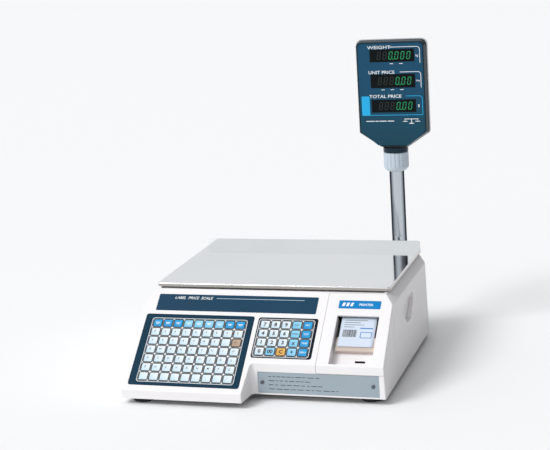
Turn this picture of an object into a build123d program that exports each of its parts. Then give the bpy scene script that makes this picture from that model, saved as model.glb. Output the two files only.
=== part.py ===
from build123d import *
from math import atan, cos, sin
import os

# Label-printing price scale, in millimetres.
# +Z up, front faces -Y, +X to the right; the origin is the middle of the footprint, on the counter.

# Case
case_half_width = 203.0        # at the bottom edge
case_half_width_top = 199.6    # the sides lean in a little
case_bottom = 10.0             # the feet hold the case off the counter
case_top = 143.4
case_rear = 170.0
wall = 3.2
top_bevel = 13.6               # along the upper side edges and down the rear corners
lip_y = -223.0                 # front edge of the keyboard block
lip_top = 23.8
slope = 0.82                   # rise over run of the sloping panel
recess_y = -179.9              # front face of the right-hand part, set back
step_front_x = -8.7            # right flank of the keyboard block, front and back
step_back_x = -4.1
deck_z = 139.9                 # sunk deck under the platter
deck_half_width, deck_front, deck_rear_rim = 183.0, -75.0, 3.0
lift_hole_x, lift_hole_half_depth = (18.0, 68.0), 26.0   # where the weighing frame comes up through the deck
base_sheet = 3.0
edge_radius, inner_corner_radius = 1.8, 6.0
gap = 0.3                      # clearance between pieces that move apart
seam = 0.6                     # parting line round the printer bezel

# Panel coordinates: x across, s up the slope from the front lip, n out of the surface
panel_angle = atan(slope)
ridge_s = (case_top - lip_top) / sin(panel_angle)
panel = Plane(origin=(0, lip_y, lip_top), x_dir=(1, 0, 0), z_dir=(0, -sin(panel_angle), cos(panel_angle)))

# Keyboards
key_pitch_x, key_pitch_s = 17.1, 16.2
key_width, key_height = 13.4, 12.6
key_top, key_bottom = 0.9, -1.4
key_travel = 0.4
overlay_top, overlay_bottom = 0.4, -0.8
keyboard_recess = 2.4
preset_size, preset_centre = (179.5, 130.4), (-103.8, 74.7)
preset_columns, preset_rows, preset_grid_centre = 9, 7, (-102.6, 74.0)
numeric_size, numeric_centre = (95.6, 73.2), (40.8, 102.0)
numeric_grid_centre = (39.5, 101.5)
numeric_keys = [
    ["key_7", "key_8", "key_9", "key_pay", "key_print"],
    ["key_4", "key_5", "key_6", "key_void", "key_total"],
    ["key_1", "key_2", "key_3", "key_times", "key_tare"],
    ["key_0", "key_00", "key_clear", "key_plus", "key_zero"],
]

# Operator window and badge
window_size, window_centre = (263.0, 31.0), (-49.5, 162.5)
badge_size, badge_centre = (65.6, 14.6), (148.6, 166.5)

# Printer
bezel_x = 97.6                 # left parting line of the printer bezel
bezel_top_s = 187.0
skirt_bottom = 46.7
pocket_x, pocket_s = (116.5, 182.0), (59.0, 146.4)
pocket_depth = 16.0
pocket_floor_end = 113.0       # above this the pocket opens into the printer
pocket_wall = 2.0
label_width, label_n = 55.0, -8.0
label_s = (95.0, 149.5)
label_x = 150.0
frame_left_x, frame_right_x, frame_sheet = 104.0, 186.5, 2.0
frame_front_y, frame_rear_y, frame_short_y, frame_top_z = -108.0, 55.0, -62.0, 130.0
platen_radius, platen_shaft_radius, platen_half_width = 7.0, 3.0, 30.0
platen_s, platen_n = 156.0, -15.0
roll_radius, roll_width, roll_y, roll_z = 42.0, 56.0, 0.0, 70.0
spindle_radius = 12.5
running_clearance = 0.05

# Side door, hinged along its lower edge
door_front_y, door_rear_y, door_top_z = -98.0, 150.0, 128.0
door_knee_y, door_knee_z = -104.0, 98.3
door_top_front_y = -69.2
door_foot_z = 30.0             # the front edge is upright this far, so that it clears the cover as it opens
hinge_x, hinge_z, hinge_pin_radius = 198.5, 16.0, 2.0
hinge_boss, hinge_boss_offset = 6.0, 3.4   # length of each boss, and its middle's distance past the door
hinge_pin_reach, hinge_pin_inside = 4.8, 6.0
door_chamfer = 1.4
grip_y, grip_z, grip_width, grip_height = 12.4, 92.5, 84.0, 38.0
grip_floor_x, grip_edge, grip_side, grip_foot = 193.6, 3.0, 12.0, 14.0

# Platter and weighing parts
platter_width, platter_front, platter_rear, platter_z = 382.0, -70.4, 175.6, 150.5
platter_sheet, platter_lip, platter_upstand = 1.2, 5.5, 13.0
platter_y = (platter_front + platter_rear) / 2
cell_length, cell_width, cell_bottom, cell_top = 140.0, 30.0, 86.0, 118.0

# Pole and customer display
pole_x, pole_y, pole_radius, pole_bore = 149.5, 199.0, 12.5, 10.5
pole_bottom, pole_top = 20.0, 308.0
collar_bottom, collar_shoulder, collar_top, collar_radius = 280.0, 289.0, 312.0, 21.0
neck_top = 320.5
head_half_width, head_corner_z, head_top = 59.5, 346.0, 501.0
head_neck_half_width = 22.0
head_band, head_shell = 5.0, 12.5
head_taper = 12.0
head_window_x, head_window_width = 3.3, 75.4
panel_sink, panel_inset, panel_rebate_inset = 1.1, 4.8, 4.5
spigot_bottom = 262.0
head_windows = [(475.7, 21.0), (433.5, 23.0), (391.8, 21.5)]   # height of the middle, and height

# Rating plate, feet and rear sockets
plate_x, plate_z, plate_screws_x, plate_screw_radius = (5.6, 193.5), (12.8, 45.6), (12.6, 184.7), 1.5
foot_places = {"foot_front_left": (-175, -195), "foot_front_right": (175, -150),
               "foot_rear_left": (-175, 135), "foot_rear_right": (170, 135)}
foot_radius, stud_radius = 17.0, 4.0
inlet_x, switch_x, socket_z = -150.0, -108.0, 48.0
inlet_hole, switch_hole = (27.6, 20.4), (17.6, 14.6)
rocker_width, rocker_pivot_radius = 16.0, 1.5
rear_y = 223.0                 # back of the pole bracket

parts = {}


def block(x0, x1, y0, y1, z0, z1):
    return Pos((x0 + x1) / 2, (y0 + y1) / 2, (z0 + z1) / 2) * Box(x1 - x0, y1 - y0, z1 - z0)


def panel_block(x0, x1, s0, s1, n0, n1):
    return panel * (Pos((x0 + x1) / 2, (s0 + s1) / 2, (n0 + n1) / 2) * Box(x1 - x0, s1 - s0, n1 - n0))


def panel_plate(size, centre, n0, n1, radius):
    outline = Pos(centre[0], centre[1], n0) * RectangleRounded(size[0], size[1], radius)
    return panel * extrude(outline, n1 - n0)


def panel_point(s, n):
    """Y and Z of a point on the panel."""
    y = lip_y + s * cos(panel_angle) - n * sin(panel_angle)
    return y, lip_top + s * sin(panel_angle) + n * cos(panel_angle)


def rod(radius, x0, x1, y, z):
    """A round bar along X."""
    return Pos((x0 + x1) / 2, y, z) * Rot(0, 90, 0) * Cylinder(radius, x1 - x0)


def polygon(points, plane=Plane.XY):
    return plane * make_face(Polyline(*points, close=True))


def grid(columns, rows, centre):
    """Key places, row by row from the top."""
    for row in range(rows):
        for column in range(columns):
            x = centre[0] + (column - (columns - 1) / 2) * key_pitch_x
            yield x, centre[1] + ((rows - 1) / 2 - row) * key_pitch_s


# ---- case ----

def case_form(inset):
    """The case as a solid, its faces moved in by inset and its underside left open for an inner form."""
    bottom = case_bottom - 2 * inset
    ridge_y = lip_y + (case_top - lip_top) / slope
    side = polygon([(lip_y, bottom), (lip_y, lip_top), (ridge_y, case_top),
                    (case_rear, case_top), (case_rear, bottom)], Plane.YZ)
    shoulder = case_half_width_top - top_bevel
    bevel_z = case_top - top_bevel
    front = polygon([(-case_half_width, bottom), (-case_half_width_top, bevel_z), (-shoulder, case_top),
                     (shoulder, case_top), (case_half_width_top, bevel_z), (case_half_width, bottom)],
                    Plane.XZ)
    corner_x, corner_y = case_half_width - top_bevel, case_rear - top_bevel
    edge = case_half_width + 1
    plan = polygon([(-edge, lip_y), (edge, lip_y), (edge, corner_y), (corner_x, case_rear),
                    (-corner_x, case_rear), (-edge, corner_y)])
    if inset:
        side, front, plan = (offset(face, -inset, kind=Kind.INTERSECTION) for face in (side, front, plan))
    form = extrude(side, 260, both=True) & extrude(front, 300, both=True)
    form &= Pos(0, 0, bottom) * extrude(plan, case_top - bottom + 10)
    step = polygon([(step_front_x - inset, lip_y - 5), (260, lip_y - 5),
                    (260, recess_y + inset), (step_back_x - inset, recess_y + inset)])
    return form - Pos(0, 0, bottom - 5) * extrude(step, 250)


def rounded_case():
    form = case_form(0)
    upright = [e for e in form.edges() if e.center().Y < recess_y + 1 and e.bounding_box().size.Z > 10
               and abs(e.center().X) < 20 and e.bounding_box().size.Y < 4]
    inner_corner = [e for e in upright if e.center().Y > recess_y - 1]
    form = fillet(inner_corner, inner_corner_radius)
    edges = [e for e in form.edges() if e.center().Z > case_bottom + 1 and abs(e.center().X) < 202.9
             and e.bounding_box().size.Z + e.bounding_box().size.X + e.bounding_box().size.Y > 12]
    return fillet(edges, edge_radius)


def bezel_region(grow):
    """Where the printer bezel takes the place of the case skin."""
    x0, x1 = bezel_x - grow, case_half_width + 5
    face = panel_block(x0, x1, 40, bezel_top_s + grow, -wall - grow, 6)
    skirt = block(x0, x1, recess_y - 6, recess_y + wall + grow, skirt_bottom - grow, 62)
    return face + skirt


def door_region(shrink):
    outline = [(door_front_y + shrink, case_bottom - 4), (door_front_y + shrink, door_foot_z),
               (door_knee_y + shrink, door_knee_z - shrink),
               (door_top_front_y + shrink, door_top_z - shrink), (door_rear_y - shrink, door_top_z - shrink),
               (door_rear_y - shrink, case_bottom - 4)]
    return Pos(150, 0, 0) * extrude(polygon(outline, Plane.YZ), 80)


def upper_cover(outer, inner):
    cover = outer - inner - bezel_region(seam) - door_region(0)
    cover -= block(-deck_half_width, deck_half_width, deck_front, case_rear - deck_rear_rim,
                   deck_z, case_top + 5)
    cover -= block(*lift_hole_x, platter_y - lift_hole_half_depth, platter_y + lift_hole_half_depth,
                   100, case_top)
    for size, centre in ((preset_size, preset_centre), (numeric_size, numeric_centre)):
        cover -= panel_plate((size[0] + gap, size[1] + gap), centre, -keyboard_recess, 5, 4.1)
    cover -= panel_plate((window_size[0] + gap, window_size[1] + gap), window_centre, -1.2, 5, 2.1)
    cover -= block(plate_x[0] - gap, plate_x[1] + gap, recess_y - 2, recess_y + 1.2,
                   plate_z[0] - gap, plate_z[1] + gap)
    for x, (width, height) in ((inlet_x, inlet_hole), (switch_x, switch_hole)):
        cover -= block(x - width / 2, x + width / 2, case_rear - 10, case_rear + 5,
                       socket_z - height / 2, socket_z + height / 2)
    for edge_y, outward in ((door_front_y, -1), (door_rear_y, 1)):
        y, half = edge_y + outward * hinge_boss_offset, hinge_boss / 2
        boss = block(hinge_x - 5, hinge_x + 3, y - half, y + half, case_bottom + 0.5, hinge_z + 5)
        cover += boss & outer
        pin_hole = Cylinder(hinge_pin_radius + running_clearance, hinge_boss)
        cover -= Pos(hinge_x, y - outward, hinge_z) * Rot(90, 0, 0) * pin_hole
    for x in plate_screws_x:
        cover -= Pos(x, recess_y, sum(plate_z) / 2) * Rot(90, 0, 0) * Cylinder(plate_screw_radius, 10)
    return cover


def base_plate():
    top = case_bottom + 0.5 + base_sheet
    plate = case_form(wall + gap) & block(-260, 260, -260, 260, case_bottom + 0.5, top)
    plate -= block(hinge_x - 9, 260, door_front_y - 8, door_rear_y + 8, 0, 40)
    for x, y in foot_places.values():
        plate += Pos(x, y, top + 4.5) * Cylinder(9, 10)
        plate -= Pos(x, y, top) * Cylinder(stud_radius + running_clearance, 40)
    tower = block(-cell_length / 2, -20, platter_y - 20, platter_y + 20, top, cell_bottom)
    tower -= block(-cell_length / 2 + 4, -24, platter_y - 30, platter_y + 30, top, cell_bottom - 6)
    for x in (-130, -110, -90, -70, -50):
        plate -= block(x - 3, x + 3, -80, -20, 0, 20)
    return plate + tower


def foot(x, y):
    pad = Pos(x, y, 3.5) * Cylinder(foot_radius, 7)
    pad = chamfer(pad.edges(), 0.8)
    for k in range(16):
        place = Rot(0, 0, k * 22.5) * Pos(foot_radius + 0.8, 0, 3.5)
        pad -= Pos(x, y, 0) * place * Cylinder(1.6, 12)
    return pad + Pos(x, y, 14.5) * Cylinder(stud_radius, 15)


def rating_plate():
    body = block(*plate_x, recess_y - 0.2, recess_y + 1.0, *plate_z)
    corners = body.edges().filter_by(Axis.Y)
    body = fillet(corners, 2.0)
    for x in plate_screws_x:
        body -= Pos(x, recess_y, sum(plate_z) / 2) * Rot(90, 0, 0) * Cylinder(plate_screw_radius, 10)
    return body


def pan_head_screw(head_radius, shank_radius, head_height, shank):
    """A cross-head screw standing on z = 0, its head up."""
    head = Pos(0, 0, head_height / 2) * Cylinder(head_radius, head_height)
    head = fillet(head.edges().sort_by(Axis.Z)[-1], head_height * 0.45)
    arm = head_radius * 1.1
    for turn in (0, 90):
        head -= Rot(0, 0, turn) * Pos(0, 0, head_height) * Box(arm, head_radius * 0.28, head_height)
    return head + Pos(0, 0, -shank / 2) * Cylinder(shank_radius, shank)


def rating_plate_screws():
    z = sum(plate_z) / 2
    return [Pos(x, recess_y - 0.2, z) * Rot(90, 0, 0) * pan_head_screw(3.2, plate_screw_radius, 1.4, 3.2)
            for x in plate_screws_x]


# ---- keyboards and windows ----

def key(x, s):
    outline = Pos(x, s, key_bottom) * RectangleRounded(key_width, key_height, 1.3)
    body = extrude(outline, key_top - key_bottom)
    body = fillet(body.faces().sort_by(Axis.Z)[-1].edges(), 0.6)
    return panel * body


def overlay(size, centre, places):
    sheet = Pos(centre[0], centre[1], overlay_bottom)
    sheet = sheet * extrude(RectangleRounded(size[0], size[1], 4.0), overlay_top - overlay_bottom)
    sheet = chamfer(sheet.faces().sort_by(Axis.Z)[-1].edges(), 0.3)
    hole = RectangleRounded(key_width + 2 * gap, key_height + 2 * gap, 1.5)
    holes = Sketch() + [Pos(x, s, 0) * hole for x, s in places]
    return panel * (sheet - Pos(0, 0, -3) * extrude(holes, 6))


def operator_window():
    return panel_plate(window_size, window_centre, -1.0, 0.3, 2.0)


def badge_plate():
    return panel_plate(badge_size, badge_centre, -0.8, 0.3, 1.0)


# ---- printer ----

def printer_bezel(outer, inner):
    x0, x1 = pocket_x
    s0, s1 = pocket_s
    bezel = (outer - inner) & bezel_region(0)
    tub = panel_block(x0 - pocket_wall, x1 + pocket_wall, s0 - pocket_wall, s1,
                      -pocket_depth - pocket_wall, -wall)
    bezel = bezel + tub - panel_block(x0, x1, s0, s1, -pocket_depth, 5)
    bezel -= panel_block(x0, x1, pocket_floor_end, s1 + 1, -pocket_depth - 4, -wall)
    bezel -= panel_block(152, 168, 72, 76, -pocket_depth - 5, -pocket_depth + 1)
    return bezel - panel_plate((badge_size[0] + gap, badge_size[1] + gap), badge_centre, -1.0, 5, 1.1)


def peel_plate():
    ramp = panel_block(label_x - platen_half_width, label_x + platen_half_width, 88, pocket_floor_end - 1,
                       -pocket_depth, label_n - 0.3)
    edge = ramp.edges().filter_by(Axis.X).sort_by(Axis.Z)
    return fillet(edge[2:3], 2.0)


def printed_label():
    half = label_width / 2
    return panel_block(label_x - half, label_x + half, *label_s, label_n - 0.2, label_n)


def frame_sheet_outline(rear):
    foot_z = case_bottom + base_sheet + 0.6
    return [(frame_front_y, foot_z), (rear, foot_z), (rear, frame_top_z), (frame_front_y + 26, frame_top_z),
            (frame_front_y, frame_top_z - 21)]


def printer_frame():
    y, z = panel_point(platen_s, platen_n)
    left = Pos(frame_left_x, 0, 0) * extrude(polygon(frame_sheet_outline(frame_rear_y), Plane.YZ), frame_sheet)
    right = Pos(frame_right_x, 0, 0) * extrude(polygon(frame_sheet_outline(frame_short_y), Plane.YZ), frame_sheet)
    foot_z = case_bottom + base_sheet + 0.6
    floor = block(frame_left_x, frame_right_x + frame_sheet, frame_front_y, frame_rear_y,
                  foot_z, foot_z + frame_sheet)
    spindle = rod(spindle_radius, frame_left_x + 1, 184, roll_y, roll_z)
    frame = left + right + floor + spindle
    return frame - rod(platen_shaft_radius + running_clearance, 90, 200, y, z)


def platen_roller():
    y, z = panel_point(platen_s, platen_n)
    roller = rod(platen_radius, label_x - platen_half_width, label_x + platen_half_width, y, z)
    shaft = rod(platen_shaft_radius, frame_left_x - 2, frame_right_x + frame_sheet + 2, y, z)
    knob = rod(6.0, frame_left_x - 8, frame_left_x - 2, y, z)
    return roller + shaft + knob


def print_head():
    bar = panel_block(frame_left_x + frame_sheet, frame_right_x, 149, 165, label_n + 0.3, -wall - 1)
    return bar - panel_block(label_x - platen_half_width, label_x + platen_half_width, 148, 151,
                             label_n, label_n + 1.3)


def label_roll():
    roll = rod(roll_radius, label_x - roll_width / 2, label_x + roll_width / 2, roll_y, roll_z)
    return roll - rod(spindle_radius + running_clearance, 0, 260, roll_y, roll_z)


def side_door(outer, inner):
    door = (outer - inner) & door_region(gap)
    front_edges = [e for e in door.edges() if e.center().Y < door_top_front_y and e.center().X > 199.8
                   and e.length > 25]
    door = chamfer(front_edges, door_chamfer)
    rim = block(hinge_x - 2.5, hinge_x + 3, door_front_y + gap, door_rear_y - gap, hinge_z - 2.5, hinge_z + 2.5)
    reach_y, reach_z = grip_width / 2 + grip_edge, grip_height / 2 + grip_edge
    dish = block(grip_floor_x - 2.6, 202, grip_y - reach_y, grip_y + reach_y, grip_z - reach_z, grip_z + reach_z)
    door += (rim + dish) & outer
    door -= grip()
    for y0, y1 in ((door_front_y - hinge_pin_reach, door_front_y + hinge_pin_inside),
                   (door_rear_y - hinge_pin_inside, door_rear_y + hinge_pin_reach)):
        door += Pos(hinge_x, (y0 + y1) / 2, hinge_z) * Rot(90, 0, 0) * Cylinder(hinge_pin_radius, y1 - y0)
    return door


def grip():
    """The thumb recess: a shield shape, widest at the top."""
    half, top, bottom = grip_width / 2, grip_z + grip_height / 2, grip_z - grip_height / 2
    outline = polygon([(grip_y - half, top), (grip_y + half, top), (grip_y + half, top - grip_side),
                       (grip_y + grip_foot, bottom), (grip_y - grip_foot, bottom),
                       (grip_y - half, top - grip_side)], Plane.YZ)
    return Pos(grip_floor_x, 0, 0) * extrude(fillet(outline.vertices(), 5), 20)


# ---- weighing parts ----

def platter():
    half, lip_z = platter_width / 2, platter_z - platter_lip
    body = block(-half, half, platter_front, platter_rear, lip_z, platter_z)
    body = chamfer(body.edges().filter_by(Axis.Z), 4.0)
    body = fillet(body.faces().sort_by(Axis.Z)[-1].edges(), 1.0)
    hollow = block(-half + platter_sheet, half - platter_sheet, platter_front + platter_sheet,
                   platter_rear - platter_sheet, lip_z - 1, platter_z - platter_sheet)
    body -= chamfer(hollow.edges().filter_by(Axis.Z), 4.0)
    rail = block(-half + 1, half - 1, platter_rear - 1.2 - platter_sheet, platter_rear - 1.2,
                 platter_z - 1, platter_z + platter_upstand)
    return body + fillet(rail.edges().filter_by(Axis.Y).sort_by(Axis.Z)[-2:], 5.0)


spider_reach_x, spider_reach_y, spider_z = 150.0, 92.0, (142.0, 146.5)


def platter_spider():
    z0, z1 = spider_z
    body = block(-62, 70, platter_y - 28, platter_y + 28, z0, z1)
    for side_x in (-1, 1):
        for side_y in (-1, 1):
            arm = Line((side_x * 30, side_y * 12), (side_x * spider_reach_x, side_y * spider_reach_y))
            ends = [Pos(arm @ 0) * CenterArc((0, 0), 14, 0, 360), Pos(arm @ 1) * CenterArc((0, 0), 11, 0, 360)]
            body += Pos(0, platter_y, z0) * extrude(make_hull(ends), z1 - z0)
    return body + block(25, 61, platter_y - 14, platter_y + 14, cell_top, z0)


def spider_pads():
    top = platter_z - platter_sheet
    return [Pos(x, platter_y + y, (spider_z[1] + top) / 2) * Cylinder(9, top - spider_z[1])
            for x in (-spider_reach_x, spider_reach_x) for y in (-spider_reach_y, spider_reach_y)]


def load_cell(side):
    """One half of the bending beam; the halves part at the thin middle section."""
    x0, x1 = sorted((side * gap, side * cell_length / 2))
    beam = block(x0, x1, platter_y - cell_width / 2, platter_y + cell_width / 2, cell_bottom, cell_top)
    eye = Rot(90, 0, 0) * Cylinder(11, cell_width + 10)
    return beam - Pos(side * 12, platter_y, (cell_bottom + cell_top) / 2) * eye


def main_board():
    board = block(-182, -30, -120, 15, 32, 33.6)
    for x in (-176, -36):
        for y in (-114, 9):
            board += Pos(x, y, (case_bottom + 3.5 + 32) / 2) * Cylinder(3, 32 - case_bottom - 3.5)
    for x, y, w, d, h in ((-140, -60, 24, 24, 3), (-95, -60, 34, 12, 4), (-95, -20, 34, 12, 4),
                          (-50, -70, 14, 50, 9), (-150, 0, 30, 12, 12)):
        board += block(x - w / 2, x + w / 2, y - d / 2, y + d / 2, 33.6, 33.6 + h)
    return board


def power_supply():
    can = block(-188, -92, 32, 120, case_bottom + 3.5, 66)
    return fillet(can.edges().filter_by(Axis.Z), 3)


# ---- pole and display head ----

def pole():
    middle = (pole_bottom + pole_top) / 2
    tube = Cylinder(pole_radius, pole_top - pole_bottom) - Cylinder(pole_bore, pole_top)
    return Pos(pole_x, pole_y, middle) * tube


def pole_bracket():
    body = block(pole_x - 24, pole_x + 24, case_rear, rear_y, 14, 74)
    body = fillet([e for e in body.edges().filter_by(Axis.Z) if e.center().Y > 200], 12)
    body = chamfer(body.faces().sort_by(Axis.Z)[-1].edges(), 1.5)
    body += block(pole_x - 40, pole_x + 40, case_rear, case_rear + 4, 14, 74)
    body -= Pos(pole_x, pole_y, pole_bottom + 50) * Cylinder(pole_radius, 100)
    for x, z in bracket_screw_places():
        body -= Pos(x, case_rear, z) * Rot(90, 0, 0) * Cylinder(2.2, 20)
    return body


def bracket_screw_places():
    return [(pole_x + x, z) for x in (-32, 32) for z in (26, 62)]


def bracket_screws():
    return [Pos(x, case_rear + 4, z) * Rot(-90, 0, 0) * pan_head_screw(4.0, 2.0, 2.6, 3.8)
            for x, z in bracket_screw_places()]


def collar_nut():
    """Fluted clamp collar, rounded in to the pole below."""
    bore = pole_radius + running_clearance
    foot_r = pole_radius + 1.6
    outline = Plane.XZ * make_face([
        Line((bore, collar_bottom), (foot_r, collar_bottom)),
        ThreePointArc((foot_r, collar_bottom), (19.2, collar_bottom + 3.6), (collar_radius, collar_shoulder)),
        Line((collar_radius, collar_shoulder), (collar_radius, collar_top - 1)),
        Line((collar_radius, collar_top - 1), (collar_radius - 1, collar_top)),
        Line((collar_radius - 1, collar_top), (bore, collar_top)),
        Line((bore, collar_top), (bore, collar_bottom)),
    ])
    body = revolve(outline, Axis.Z)
    flutes = 18
    for k in range(flutes):
        groove = Rot(0, 0, k * 360 / flutes) * Pos(collar_radius + 1.0, 0, (collar_shoulder + collar_top) / 2)
        body -= groove * Cylinder(2.0, collar_top - collar_shoulder + 2)
    return Pos(pole_x, pole_y, 0) * body


def head_outline(inset):
    w, z1 = head_half_width - inset, head_top - inset
    z_knee, z0, neck = head_corner_z + inset * 0.5, neck_top, head_neck_half_width - inset * 0.4
    outline = make_face(Polyline((w, z_knee), (w, z1), (-w, z1), (-w, z_knee), (-neck, z0), (neck, z0),
                                 close=True))
    outline = fillet(outline.vertices().sort_by(Axis.Y)[-2:], 10 - inset * 0.6)
    knees = [v for v in outline.vertices() if abs(v.Y - z_knee) < 0.1]
    return fillet(knees, 5)


def head_plane(y):
    return Plane(origin=(pole_x, y, 0), x_dir=(1, 0, 0), z_dir=(0, -1, 0))


head_front_y = pole_y - head_band / 2 - head_shell
head_mirror = Plane(origin=(0, pole_y, 0), x_dir=(1, 0, 0), z_dir=(0, 1, 0))


def both_sides(shape):
    return [shape, mirror(shape, head_mirror)]


def head_shell_front():
    joint_y = pole_y - head_band / 2
    shell = head_plane(joint_y) * extrude(head_outline(0), head_shell, taper=head_taper)
    shell -= head_plane(joint_y) * extrude(head_outline(5), head_shell - 4.0)
    return shell - head_plane(head_front_y + panel_sink) * extrude(panel_outline(panel_rebate_inset), 5)


def panel_outline(inset):
    """The display panel: the head's outline, cut off level just above the neck."""
    low = neck_top + inset
    return head_outline(inset) & Pos(0, (low + head_top) / 2) * Rectangle(200, head_top - low)


def head_panel():
    sheet = head_plane(head_front_y + panel_sink) * extrude(panel_outline(panel_inset), 1.0)
    middle, half = pole_x + head_window_x, head_window_width / 2
    for z, height in head_windows:
        sheet -= block(middle - half, middle + half, head_front_y - 3, head_front_y + 3,
                       z - height / 2, z + height / 2)
    return sheet


def head_window(z, height):
    half = head_window_width / 2 - 0.2
    x = pole_x + head_window_x
    return block(x - half, x + half, head_front_y + 0.4, head_front_y + panel_sink,
                 z - height / 2 + 0.2, z + height / 2 - 0.2)


def head_middle_band():
    ring = head_outline(-1.0) - head_outline(4)
    return head_plane(pole_y + head_band / 2) * extrude(ring, head_band)


def head_neck():
    z0 = collar_top + gap
    body = Pos(pole_x, pole_y, (z0 + neck_top) / 2) * Cylinder(collar_radius, neck_top - z0)
    body = chamfer(body.edges().sort_by(Axis.Z)[0], 1.0)
    spigot = Cylinder(pole_bore - running_clearance, z0 + 1 - spigot_bottom)
    return body + Pos(pole_x, pole_y, (z0 + 1 + spigot_bottom) / 2) * spigot


# ---- rear sockets ----

def power_inlet():
    y0, y1 = case_rear - 18, case_rear
    body = block(inlet_x - 13.6, inlet_x + 13.6, y0, y1, socket_z - 10, socket_z + 10)
    body += block(inlet_x - 16, inlet_x + 16, y1, y1 + 2, socket_z - 12.5, socket_z + 12.5)
    body -= block(inlet_x - 12, inlet_x + 12, y0 + 2, y1 + 5, socket_z - 8, socket_z + 8)
    for x, z in ((-7, -1), (7, -1), (0, 4)):
        body += block(inlet_x + x - 1, inlet_x + x + 1, y0 + 1, y1 - 3, socket_z + z - 2, socket_z + z + 2)
    return body


def power_switch():
    """Rocker, pivoted about its middle; its lower half stands proud when off."""
    profile = make_face(Polyline((case_rear - 6, socket_z - 5.6), (case_rear + 3.0, socket_z - 5.6),
                                 (case_rear + 1.2, socket_z), (case_rear + 1.2, socket_z + 5.6),
                                 (case_rear - 6, socket_z + 5.6), close=True))
    half = rocker_width / 2
    rocker = Pos(switch_x - half, 0, 0) * extrude(Plane.YZ * profile, rocker_width)
    return rocker + rod(rocker_pivot_radius, switch_x - half - 0.6, switch_x + half + 0.6,
                        case_rear - 1.5, socket_z)


def build():
    outer, inner = rounded_case(), case_form(wall) & block(-260, 260, -260, 260, -40, deck_z - wall)
    parts["upper_cover"] = upper_cover(outer, inner)
    parts["printer_bezel"] = printer_bezel(outer, inner)
    parts["side_door"] = side_door(outer, inner)
    parts["base_plate"] = base_plate()
    for name, (x, y) in foot_places.items():
        parts[name] = foot(x, y)
    parts["rating_plate"] = rating_plate()
    parts["rating_plate_screws"] = Compound(rating_plate_screws())
    parts["operator_window"] = operator_window()
    parts["badge_plate"] = badge_plate()

    preset_places = list(grid(preset_columns, preset_rows, preset_grid_centre))
    parts["preset_overlay"] = overlay(preset_size, preset_centre, preset_places)
    parts["preset_keys"] = Compound([key(x, s) for x, s in preset_places])
    numeric_places = list(grid(len(numeric_keys[0]), len(numeric_keys), numeric_grid_centre))
    parts["numeric_overlay"] = overlay(numeric_size, numeric_centre, numeric_places)
    for name, (x, s) in zip(sum(numeric_keys, []), numeric_places):
        parts[name] = key(x, s)

    for make in (peel_plate, printed_label, printer_frame, platen_roller, print_head, label_roll, platter,
                 platter_spider, main_board, power_supply, pole, pole_bracket, collar_nut, head_neck,
                 power_inlet, power_switch):
        parts[make.__name__] = make()
    parts["spider_pads"] = Compound(spider_pads())
    parts["load_cell_fixed"] = load_cell(-1)
    parts["load_cell_live"] = load_cell(1)
    parts["bracket_screws"] = Compound(bracket_screws())

    parts["head_front_shell"], parts["head_rear_shell"] = both_sides(head_shell_front())
    parts["head_band"] = head_middle_band()
    parts["head_panels"] = Compound(both_sides(head_panel()))
    parts["head_windows"] = Compound(sum((both_sides(head_window(z, h)) for z, h in head_windows), []))


build()
os.makedirs("parts", exist_ok=True)
for name, shape in parts.items():
    export_step(shape, "parts/" + name + ".step")
print(len(parts), "nodes")
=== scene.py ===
import math
import random

import bmesh
import bpy
from mathutils import Matrix, Vector


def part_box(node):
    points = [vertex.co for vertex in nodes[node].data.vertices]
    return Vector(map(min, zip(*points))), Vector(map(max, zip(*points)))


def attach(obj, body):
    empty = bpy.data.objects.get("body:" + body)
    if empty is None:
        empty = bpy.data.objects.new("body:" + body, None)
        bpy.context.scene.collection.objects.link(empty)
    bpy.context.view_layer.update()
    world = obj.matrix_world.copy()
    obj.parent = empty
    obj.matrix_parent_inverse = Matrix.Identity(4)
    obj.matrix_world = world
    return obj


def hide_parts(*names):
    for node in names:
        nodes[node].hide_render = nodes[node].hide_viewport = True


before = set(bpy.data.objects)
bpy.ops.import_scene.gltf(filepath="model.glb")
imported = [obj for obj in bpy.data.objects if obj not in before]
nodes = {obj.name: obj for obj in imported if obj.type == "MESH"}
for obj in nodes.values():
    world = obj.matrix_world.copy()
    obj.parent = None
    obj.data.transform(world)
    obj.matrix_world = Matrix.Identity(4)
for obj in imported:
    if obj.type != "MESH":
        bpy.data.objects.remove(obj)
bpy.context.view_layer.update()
print("frame loaded,", len(nodes), "CAD nodes")

mm = 0.001

# the sloping panel: x across, v up the slope from the front lip, n out of the surface
panelShape = {"lipY": -223 * mm, "lipZ": 23.8 * mm, "slope": 0.82}
panelAngle = math.atan(panelShape["slope"])
panelSin, panelCos = math.sin(panelAngle), math.cos(panelAngle)


def planeMatrix(origin, across, up):
    across, up = Vector(across), Vector(up)
    out = across.cross(up)
    turned = Matrix((across, up, out)).transposed().to_4x4()
    return Matrix.Translation(Vector(origin)) @ turned


panelPlane = planeMatrix((0, panelShape["lipY"], panelShape["lipZ"]), (1, 0, 0), (0, panelCos, panelSin))


# camera

cameraView = {
    "place": (0.6676, -2.1226, 0.7434),
    "azimuth": 17.68, "elevation": 12.96, "roll": -3.62,   # degrees
    "lens": 93.33, "sensor": 36.0,
}


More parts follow.
